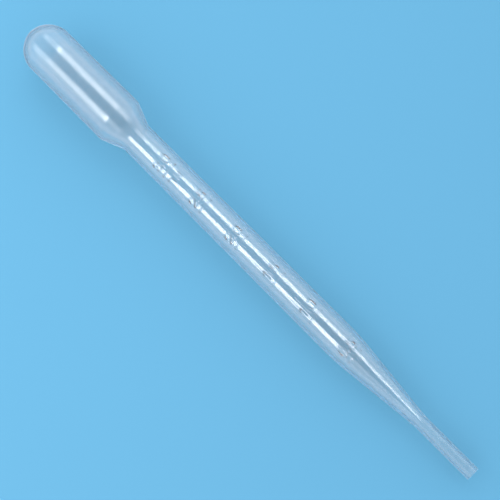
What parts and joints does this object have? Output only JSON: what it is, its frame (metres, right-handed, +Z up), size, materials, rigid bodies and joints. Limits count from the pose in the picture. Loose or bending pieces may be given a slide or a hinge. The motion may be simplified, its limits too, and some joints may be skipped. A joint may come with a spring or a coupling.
{
  "type": "plastic dropper pipette",
  "caption": "Disposable graduated dropper pipette with a squeeze bulb, a straight stem with raised volume marks, a taper and a slim drawn tip, blow moulded in one piece and lying on its side.",
  "frame": {"origin": "middle of the bounding box at the surface it lies on", "axes": "+X along the pipette towards the tip, +Z up, with the graduations facing +Z and each number's top towards the bulb"},
  "size_m": [0.15, 0.0128, 0.0135],
  "materials": {
    "milky_polyethylene": "see-through milky low-density polyethylene, glossy on the stem and slightly satin on the bulb"
  },
  "bodies": {
    "root": {"pipette": "milky_polyethylene"}
  },
  "joints": []
}
